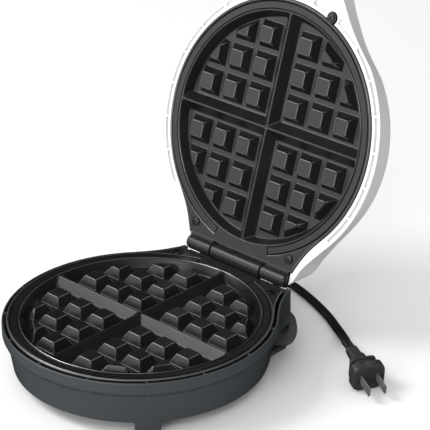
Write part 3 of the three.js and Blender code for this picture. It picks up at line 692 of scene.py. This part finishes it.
def cooking_plate(name, knuckles, ears):
    edge = rounded(prism(plate_outline(0, 150), -PLATE_EDGE, 0, name), 0.7, 3, 40)
    pan = rounded(prism(circle(CAVITY_TOP + 2.5, 150), -PAN_DEPTH, -PLATE_EDGE + 1), 1.5, 3, 40)
    plate = add(edge, pan)
    for x in ears:
        add(plate, rounded(prism(circle(EAR_RADIUS, 28, x, EAR_Y), -PLATE_EDGE, 0.05), 0.5, 2, 40))
    for parts in knuckles:
        add(plate, *parts)
    cut(plate, *[pocket(i) for i in range(4)])
    spots = [(x, y) for i, x in enumerate(STUD_ROWS) for j, y in enumerate(STUD_ROWS) if i + j < 4]
    studs = [stud(sx * x, sy * y) for x, y in spots for sx in (1, -1) for sy in (1, -1)]
    add(plate, joined(studs))
    cut(plate, groove(92.9, 1.1, 1.0), groove(98.9, 1.5, 1.3))
    cut(plate, *groove_ends(92.9, 98.9, 1.2, 1.0))
    return add(plate, bead(91.95, 0.9, 0.35, True), bead(100.2, 1.1, 0.3, False))


def screw_boss(plate, places):
    """Shallow ring round each screw."""
    rings = []
    for x, y in places:
        section = [(3.7, 0.4), (3.7, -0.5), (4.4, -0.5), (4.4, 0.4)]
        rings.append(moved(hoop(section, sides=28), shift(x, y, 0)))
    return cut(plate, *rings)


# ---- base ---------------------------------------------------------------------------------------------
def base_shell():
    outline = [Vector((p.x, BACK_WALL)) if p.y > 103.9 else p for p in plate_outline(3.75)]
    shell = rounded(lofted(outline, BASE_LEVELS, name="base_shell", upright=1), 1.0, 3, 12)
    inner_levels = [(-35, 0.936), *BASE_LEVELS[1:-1], (1, 1)]
    heel_outline = [*HEEL, *[(-x, y) for x, y in reversed(HEEL)]]
    heel = rounded(lofted(heel_outline, [(-37.5, 0.968), (-32, 1)]), 1.0, 3)
    add(shell, heel, *mirrored(cord_lip), *mirrored(rear_foot), *mirrored(front_foot))
    cut(shell, lofted(plate_outline(1.25), inner_levels, upright=1))
    cut(shell, prism(plate_outline(2.5), -7, 1.5))
    ribs = [rib(-90 + 24 * i) for i in range(15) if sin(radians(24 * i - 90)) < sin(LAND_ANGLE)]
    posts = [prism(circle(4, 20, side * REAR_SCREW[0], REAR_SCREW[1]), -36, -4.3) for side in (-1, 1)]
    shelf = rounded(block((-53.9, 53.9), (101.6, 109.5), (-9, -4.6)), 0.8, 2)
    add(shell, joined(ribs), joined(posts), shelf)
    return cut(shell, prism(circle(68, 96), -40, -34), block((-53.9, 53.9), (101.6, 125), (-4.6, 6)))


def cord_lip():
    """Ear that the cord winds under, with a crescent hollow through it."""
    outline = [*spline([(x * PITCH, y * PITCH) for x, y in LIP_EDGE], 5),
               *[Vector((x * PITCH, y * PITCH)) for x, y in LIP_ROOT]]
    lip = rounded(lofted(outline, [(-25, 0.9), (-21, 1), (-20, 1)], 75), 0.8, 3, 30)
    closed = [*LIP_POCKET, *LIP_POCKET[:3]]
    curve = spline([(x * PITCH, y * PITCH) for x, y in closed], 4)
    hole = curve[4:4 + 4 * len(LIP_POCKET)]
    return cut(lip, rounded(prism(hole, -23.5, -15), 0.8, 2))


def rear_foot():
    return rounded(block((42, 62), (85, 99), (-46.5, -36)), 1.2, 3)


def front_foot():
    foot = hoop([(86, -46.5), (97.8, -46.5), (97.8, -36.5), (86, -36.5)], -47.5, -36.3, 360)
    return rounded(foot, 1.2, 3, 40)


def rib(angle):
    """Ledge under the plate's edge and nib beside it."""
    ledge = block((96, 104), (-0.8, 0.8), (-12, -4.3))
    nib = block((101.6, 104.2), (-0.6, 0.6), (-8, -0.9))
    return moved(add(ledge, nib), turn(radians(angle), "Z"))


def pad(name, side_name, side):
    """Soft pad under a foot."""
    if name == "front":
        section = [(87, -48), (96.8, -48), (96.8, -46.8), (87, -46.8)]
        item = hoop(section, -46.9, -36.9, 360)
        if side < 0:
            item.data.transform(Matrix.Scale(-1, 4, (1, 0, 0)))
            item.data.flip_normals()
    else:
        item = block((side * 52 - 9, side * 52 + 9), (86, 98), (-48, -46.8))
    node = f"{name}_pad_{side_name}"
    return piece(rounded(item, 0.4, 2), f"soft_{node}", BASE, "base", "rubber", node)


def base_cover():
    cover = rounded(prism(circle(76, 96), -39.8, -37.8, "cover"), 0.5, 2)
    slots = [rounded(block((-22, 22), (y - 2, y + 2), (-41, -37)), 1.9, 4, 40) for y in (-28, -14, 0, 14, 28)]
    return cut(cover, *slots)


# ---- lid ----------------------------------------------------------------------------------------------
def lid_levels():
    """Heights and scales of the lid's outside: a rounded shoulder, then a leaning wall."""
    shoulder = [tuple(p) for p in spline(LID_LEVELS[:5], 4)]
    return [*shoulder, LID_LEVELS[-1]]


def lid_shell():
    outline = lid_outline()
    crown = [(-42 - 1.2 * (1 - share ** 2), share) for share in (0.1, 0.3, 0.52, 0.73, 0.9)]
    shell = rounded(lofted(outline, lid_levels(), LID_PULL, "lid_shell", LID_UPRIGHT, crown), 0.8, 3, 45)
    within = [(z, s * 0.99) for z, s in LID_LEVELS]
    rim_scale = 1 - (1 - 0.906) * (-LID_RIM - 1) / 27
    inner = [(z + LID_WALL, s * LID_SLIM) for z, s in LID_LEVELS[:-1]]
    cut(shell, lofted(outline, [*inner, (LID_RIM, rim_scale * LID_SLIM)], LID_PULL, upright=LID_UPRIGHT))
    places = [(side * x, y) for side in (-1, 1) for x, y in (REAR_SCREW, (EAR_X, EAR_Y))]
    hinge_wall = block((-56.4, 56.4), (99.1, 119), (-10.9, -7))
    add(shell, boolean(hinge_wall, lofted(outline, within, LID_PULL, upright=LID_UPRIGHT), "INTERSECT"))
    ears = [prism(circle(EAR_RADIUS + 1, 28, side * EAR_X, EAR_Y), LID_RIM - 1, 1) for side in (-1, 1)]
    opening = prism(plate_outline(0.75, 150), LID_RIM - 1, 1)
    for ear in ears:
        add(opening, ear)
    cut(shell, opening)
    posts = joined([prism(circle(4, 20, x, y), -38.5, -4.3) for x, y in places])
    add(shell, boolean(posts, lofted(outline, within, LID_PULL, upright=LID_UPRIGHT), "INTERSECT"))
    notch = block((-53.9, 53.9), (101.6, 130), (-8.4, 5))
    return cut(shell, notch, *rim_pockets(), handle_recess())


def rim_pockets():
    """Hollows in the lid's rim, with a rib between each two."""
    ribs = [40, 25, 10, -5, -20, -35, -50]
    half_rib = 0.45
    spans = [(a - 15 + half_rib, a - half_rib, 104.4, 106.9) for a in ribs[:-1]]
    spans += [(-79.9, -71.6, 104.6, 111.2)]
    tools = []
    for start, end, inner, outer in spans:
        for low, high in ((start, end), (180 - end, 180 - start)):
            section = [(inner, -3.6), (outer, -3.6), (outer, 1), (inner, 1)]
            tools.append(rounded(hoop(section, low, high, 180), 0.6, 2, 40))
    middle = [(104.6, -3.6), (111.2, -3.6), (111.2, 1), (104.6, 1)]
    tools.append(rounded(hoop(middle, -98.6, -81.4, 180), 0.6, 2, 40))
    return [*tools, *mirrored(corner_pocket)]


def corner_pocket():
    """Wide hollow beside the front screw, where the handle's flank leaves the round."""
    angles = [radians(a) for a in (-64.6, -62, -59, -56, -53, -51)]
    inner = [Vector((104.6 * cos(a), 104.6 * sin(a))) for a in angles]
    flank = [Vector(p) for p in ((67.3, -83.6), (59.6, -92.4), (53.9, -97.6), (46.9, -98.8))]
    outline = [*inner, *flank]
    return rounded(prism(outline, -3.2, 1), 1.0, 2, 30)


def handle_recess():
    outline = [(-43, -113.8), (-24, -137), (24, -137), (43, -113.8)]
    return rounded(prism(outline, -4.2, 3), 2.5, 4, 20)


def lens(name, side, slot):
    profile = [(1.0, -43.9), (2.4, -43.6), (3.4, -43.0), (3.8, -42.2), (3.8, -39), (5.5, -39), (5.5, -37.8)]
    return piece(moved(spun(profile, 32), shift(side * 11, -62, 0)), f"{name}_cap", LID, "lid", slot, name)


# ---- screws -------------------------------------------------------------------------------------------
def phillips(x, y, z, length=8.5, flip=False):
    """Pan-head screw with a cross recess, its head's seat at z."""
    profile = [(0.9, -length), (1.45, -length + 1), (1.45, 0.3), (3.1, 0.3), (3.2, 0.45), (3.0, 0.68),
               (2.2, 0.85), (1.0, 0.9)]
    head = spun(profile, 32, "screw")
    arms = [block((-1.75, 1.75), (-0.36, 0.36), (0.1, 3)), block((-0.36, 0.36), (-1.75, 1.75), (0.1, 3))]
    cut(head, add(*arms))
    tip = turn(pi, "X") if flip else Matrix.Identity(4)
    return moved(head, shift(x, y, z) @ tip @ turn(0.4 + x, "Z"))


def add_screws():
    for name, side in (("left", -1), ("right", 1)):
        node = f"lower_plate_screw_{name}"
        head = phillips(side * REAR_SCREW[0], REAR_SCREW[1], 0)
        piece(head, f"detailed_{node}", BASE, "base", "screw_steel", node)
    places = [(side * x, y) for side in (-1, 1) for x, y in (REAR_SCREW, (EAR_X, EAR_Y))]
    for i, (x, y) in enumerate(places):
        node = f"upper_plate_screw_{i + 1}"
        piece(phillips(x, y, 0), f"detailed_{node}", LID, "lid", "screw_steel", node)
    for i in range(4):
        angle = radians(45 + 90 * i)
        node = f"cover_screw_{i + 1}"
        head = phillips(72 * cos(angle), 72 * sin(angle), -39.8, 3.5, True)
        piece(head, f"detailed_{node}", BASE, "base", "screw_steel", node)


# ---- cord ---------------------------------------------------------------------------------------------
def coil_route():
    """Down through the coil: a spiral inwards on the upper layer and outwards again on the lower."""
    route = []
    first, drop, last = 330, 400, 655
    for angle in range(6, last - 5, 9):
        if angle < first:
            radius = COIL_OUTER + (COIL_INNER - COIL_OUTER) * angle / first
        else:
            radius = COIL_INNER + (COIL_OUTER - COIL_INNER) * (angle - first) / (last - first)
        t = min(max((angle - first) / (drop - first), 0), 1)
        z = COIL_LEVELS[0] + (COIL_LEVELS[1] - COIL_LEVELS[0]) * t * t * (3 - 2 * t)
        a = radians(angle)
        route.append((COIL_CENTRE.x + radius * cos(a), COIL_CENTRE.y + radius * sin(a), z))
    return route


def sweep(path, section, name):
    """A closed section carried along a path, its width kept level. section holds (across, up) pairs."""
    rings = []
    for i, p in enumerate(path):
        ahead = (path[min(i + 1, len(path) - 1)] - path[max(i - 1, 0)]).normalized()
        across = ahead.cross(Vector((0, 0, 1))).normalized()
        up = across.cross(ahead)
        rings.append([p + across * a + up * b for a, b in section])
    return skin(rings, name)


def flat_cord_section():
    """Two round conductors side by side, with a shallow groove between them."""
    lobe, half = CORD_THICKNESS / 2, (CORD_WIDTH - CORD_THICKNESS) / 2
    right = [(half + lobe * cos(a), lobe * sin(a)) for a in [radians(-112 + 16 * i) for i in range(15)]]
    left = [(-x, -y) for x, y in right]
    return [*right, (0, lobe * 0.72), *left, (0, -lobe * 0.72)]


def add_cord():
    route = [*CORD_IN, *coil_route(), *CORD_OUT]
    path = spline(route, 4)
    cord = sweep(path, flat_cord_section(), "cord")
    piece(cord, "mains_cord", MAKER, "base", "cord_jacket", "power_cord", "cord_coil", "cord_lead", angle=60)
    relief = piece(strain_relief(), "tapered_relief", BASE, "base", "black_plastic", "strain_relief")
    tie = piece(coil_tie(), "cord_tie", MAKER, "base", "rubber")
    plug = piece(plug_body(), "moulded_plug", PLUG, "base", "plug_plastic", "plug_body")


def strain_relief():
    """Flange and groove in the wall, then a ribbed taper down to the cord."""
    profile = [(4.0, -9), (7.3, -9), (7.5, -8.6), (7.5, -7.4), (5.4, -7.2), (5.4, 2.4), (7.4, 2.5),
               (7.6, 3.0), (7.4, 4.2), (6.2, 5.0)]
    start, end, count = 5.6, RELIEF["length"] - 3, 6
    for i in range(count):
        z = start + (end - start) * i / count
        radius = 6.0 - 1.7 * i / count
        step = (end - start) / count
        profile += [(radius, z), (radius, z + step * 0.55), (radius - 1.0, z + step * 0.65),
                    (radius - 1.0, z + step * 0.92)]
    profile += [(4.5, end), (4.5, end + 2.2), (4.1, RELIEF["length"])]
    place = (shift(RELIEF["x"], RELIEF["start"], RELIEF["z"]) @ turn(-radians(RELIEF["droop"]), "X")
             @ turn(-pi / 2, "X"))
    return moved(spun(profile, 36, "relief"), place)


def coil_tie():
    """Twist tie: a narrow band drawn round both layers of the coil."""
    x, y = COIL_CENTRE.x - 43.9, COIL_CENTRE.y
    outer = [(x - 6.6, 0.02), (x + 6.6, 0.02), (x + 6.6, 9.5), (x - 6.6, 9.5)]
    inner = [(a + (0.5 if a < x else -0.5), min(max(b, 0.16), 9.0)) for a, b in outer]
    rings = [[(a, y + offset, b) for a, b in loop] for loop, offset in
             ((outer, -3), (outer, 3), (inner, 3), (inner, -3))]
    return skin(rings, "tie", closed=True)


# ---- plug ---------------------------------------------------------------------------------------------
PLUG = (MAKER @ shift(PLUG_PLACE[0], PLUG_PLACE[1], 11 * cos(radians(PLUG_TILT)) + 0.3)
        @ turn(radians(PLUG_HEADING - 90), "Z") @ turn(radians(PLUG_TILT), "X"))


def signed_power(value, power):
    return abs(value) ** power * (1 if value > 0 else -1)


def soft_box(half_x, half_z, y, power=4.0, sides=48):
    """Rounded rectangle across the plug's axis."""
    angles = [tau * i / sides for i in range(sides)]
    return [(half_x * signed_power(cos(a), 2 / power), y, half_z * signed_power(sin(a), 2 / power))
            for a in angles]


def grip_outline():
    """Raised line round the grip on top of the plug."""
    count, bulge = 32, 0.55
    loop = [Vector((6.2 * signed_power(cos(a), 0.5), -4.9 + 2.1 * signed_power(sin(a), 0.6), 10.75))
            for a in [tau * i / count for i in range(count)]]
    turns = [tau * k / 8 for k in range(8)]
    rings = []
    for i, p in enumerate(loop):
        out = (loop[(i + 1) % count] - loop[i - 1]).cross(Vector((0, 0, 1))).normalized()
        rings.append([p + out * bulge * cos(t) + Vector((0, 0, bulge * sin(t))) for t in turns])
    return skin(rings, "grip", closed=True)


def plug_body():
    """Moulded plug: rounded face block, waisted neck, finger flange and a collar round the cord."""
    face = skin([soft_box(*s) for s in (
        (11.6, 9.6, 0), (12.5, 10.5, -0.5), (12.95, 10.9, -1.4), (13, 11, -3), (13, 10.8, -8),
        (12.2, 10.2, -9), (9.4, 8.8, -9.8), (8.2, 8.2, -10.6), (8.0, 8.0, -16))], "face")
    flange = rounded(skin([soft_box(10.4, 9.2, -13.2, 6), soft_box(10.4, 9.2, -15.8, 6)]), 0.7, 3, 40)
    collar = skin([soft_box(*s) for s in (
        (6.6, 5.8, -15), (6.4, 5.6, -20), (5.9, 5.0, -25), (5.7, 4.8, -26), (4.9, 3.6, -26.8),
        (4.8, 3.4, -33), (4.5, 3.0, -37.2), (4.2, 2.6, -38))], "collar")
    plug = add(face, flange, collar, grip_outline())
    slots = [block((side * 6.35 - 1.0, side * 6.35 + 1.0), (-4.2, 1), (-3.4, 3.4)) for side in (-1, 1)]
    return cut(plug, *slots)


# ---- sleeve -------------------------------------------------------------------------------------------
def add_sleeve():
    path = spline([(SLEEVE_X, y, z) for y, z in SLEEVE], 5)
    section = [(3.5 * cos(tau * i / 20), 3.5 * sin(tau * i / 20)) for i in range(20)]
    rings = []
    for i, p in enumerate(path):
        ahead = (path[min(i + 1, len(path) - 1)] - path[max(i - 1, 0)]).normalized()
        side = Vector((1, 0, 0))
        up = side.cross(ahead)
        rings.append([p + side * a + up * b for a, b in section])
    sleeve = piece(skin(rings, "sleeve"), "wire_sleeve", MAKER, None, "sleeving", "lead_sleeve")
    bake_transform(sleeve)


# ---- CAD nodes that stay as they are ------------------------------------------------------------------
def finish_cad_nodes():
    slots = {"lower_element": "steel", "upper_element": "steel", "lower_reflector": "bright_aluminium",
             "upper_reflector": "bright_aluminium", "thermostat": "ceramic",
             "thermal_fuse": "bright_aluminium", "terminal_block": "ceramic", "hinge_pin": "steel",
             "lamp_board": "circuit_board", "plug_blade_left": "steel", "plug_blade_right": "steel"}
    for node, slot in slots.items():
        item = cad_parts[node]
        item.data.materials.clear()
        item.data.materials.append(FINISHES[slot])
        merge = item.modifiers.new("flat_faces", "DECIMATE")
        merge.decimate_type = "DISSOLVE"
        merge.angle_limit = radians(1)
        bevel = item.modifiers.new("edges", "BEVEL")
        bevel.width = 0.25 * MM
        bevel.segments = 2
        bevel.angle_limit = radians(40)
        item.modifiers.new("weighted_normals", "WEIGHTED_NORMAL")


# ---- floor --------------------------------------------------------------------------------------------
def add_floor():
    """Pale sweep: a floor that curves up into a wall well behind the object."""
    far, radius, height, half = 3.0, 1.2, 3.0, 5.0
    profile = [(-4.0, 0.0), (far - radius, 0.0)]
    angles = [pi / 2 * i / 12 for i in range(1, 13)]
    profile += [(far - radius + radius * sin(a), radius - radius * cos(a)) for a in angles]
    profile += [(far, height)]
    vertices = [(x, y, z) for y, z in profile for x in (-half, half)]
    faces = [(2 * i, 2 * i + 1, 2 * i + 3, 2 * i + 2) for i in range(len(profile) - 1)]
    floor = mesh_object("floor", vertices, faces)
    floor.data.transform(Matrix.Rotation(radians(43.7), 4, "Z"))
    floor.data.polygons.foreach_set("use_smooth", [True] * len(floor.data.polygons))
    f = Finish("paper_sweep")
    tint = f.ramp(f.noise(3, 2), [(0.3, (0.93, 0.93, 0.93)), (0.7, (0.95, 0.95, 0.95))])
    floor.data.materials.append(f.set(Base_Color=tint, Roughness=0.7))
    floor.visible_glossy = False


# ---- the whole ----------------------------------------------------------------------------------------
add_camera()
add_cord()
add_lights()
add_floor()

rear_screws = [(side * REAR_SCREW[0], REAR_SCREW[1]) for side in (-1, 1)]
lower = cooking_plate("lower", [knuckle(-CENTRE_KNUCKLE, CENTRE_KNUCKLE, HINGE_Z, (0.8, 0.8))], [])
screw_boss(lower, rear_screws)
piece(mark_edge_rounds(lower), "lower_waffle_plate", BASE, "base", "nonstick", "lower_plate")

outer = [knuckle(-SIDE_KNUCKLE[1], -SIDE_KNUCKLE[0], LID_HINGE_Z, (2.4, 0.8)),
         knuckle(SIDE_KNUCKLE[0], SIDE_KNUCKLE[1], LID_HINGE_Z, (0.8, 2.4))]
upper = cooking_plate("upper", outer, [-EAR_X, EAR_X])
screw_boss(upper, rear_screws)
piece(mark_edge_rounds(upper), "upper_waffle_plate", LID, "lid", "nonstick", "upper_plate")

piece(base_shell(), "slate_base", BASE, "base", "slate_plastic", "base_shell")
piece(base_cover(), "vented_cover", BASE, "base", "black_plastic", "base_cover")
piece(lid_shell(), "white_lid", LID, "lid", "white_plastic", "lid_shell")
for kind in ("front", "rear"):
    for side_name, side in (("left", -1), ("right", 1)):
        pad(kind, side_name, side)
lens("power_lens", 1, "amber_lens")
lens("ready_lens", -1, "green_lens")
add_screws()
add_sleeve()
finish_cad_nodes()
